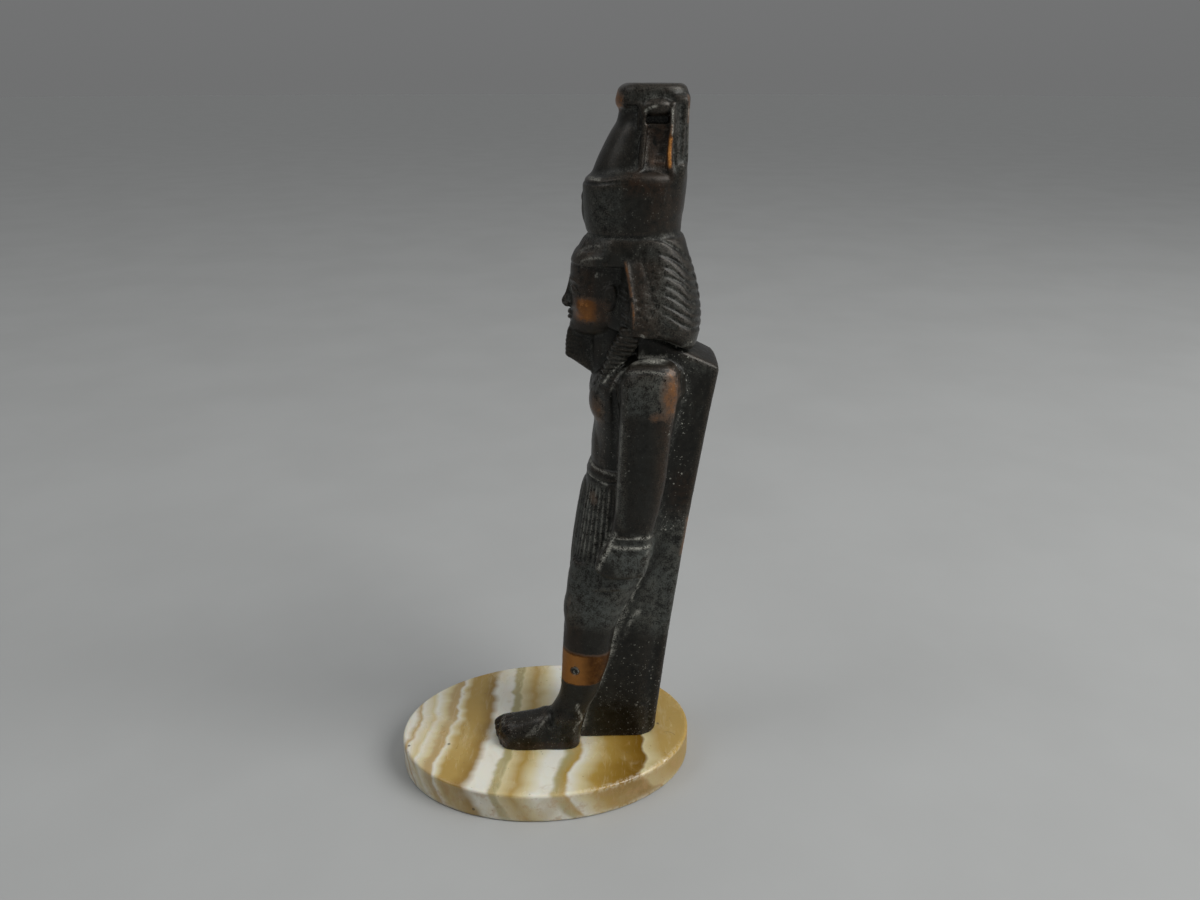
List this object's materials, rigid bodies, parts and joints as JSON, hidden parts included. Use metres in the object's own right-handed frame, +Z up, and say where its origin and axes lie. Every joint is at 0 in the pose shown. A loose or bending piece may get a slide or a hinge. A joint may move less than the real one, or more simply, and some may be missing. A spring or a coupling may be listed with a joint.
{
  "type": "standing figurine",
  "caption": "Cast copper figure of a striding king in a tall crown, arms down, leaning on a tapering back pillar, fixed on an oval slab of banded onyx.",
  "frame": {"origin": "centre of the oval base's flat underside", "axes": "+Z up; the figure faces -Y and its own left side is +X; the oval's long axis lies along Y, turned 5 degrees"},
  "size_m": [0.0696, 0.0978, 0.2096],
  "materials": {
    "copper_patina": "dark brown-black patinated copper, worn to bare copper on the high spots",
    "banded_onyx": "polished honey and white banded onyx"
  },
  "bodies": {
    "root": {"king_figure": "copper_patina", "onyx_base": "banded_onyx"}
  },
  "joints": []
}
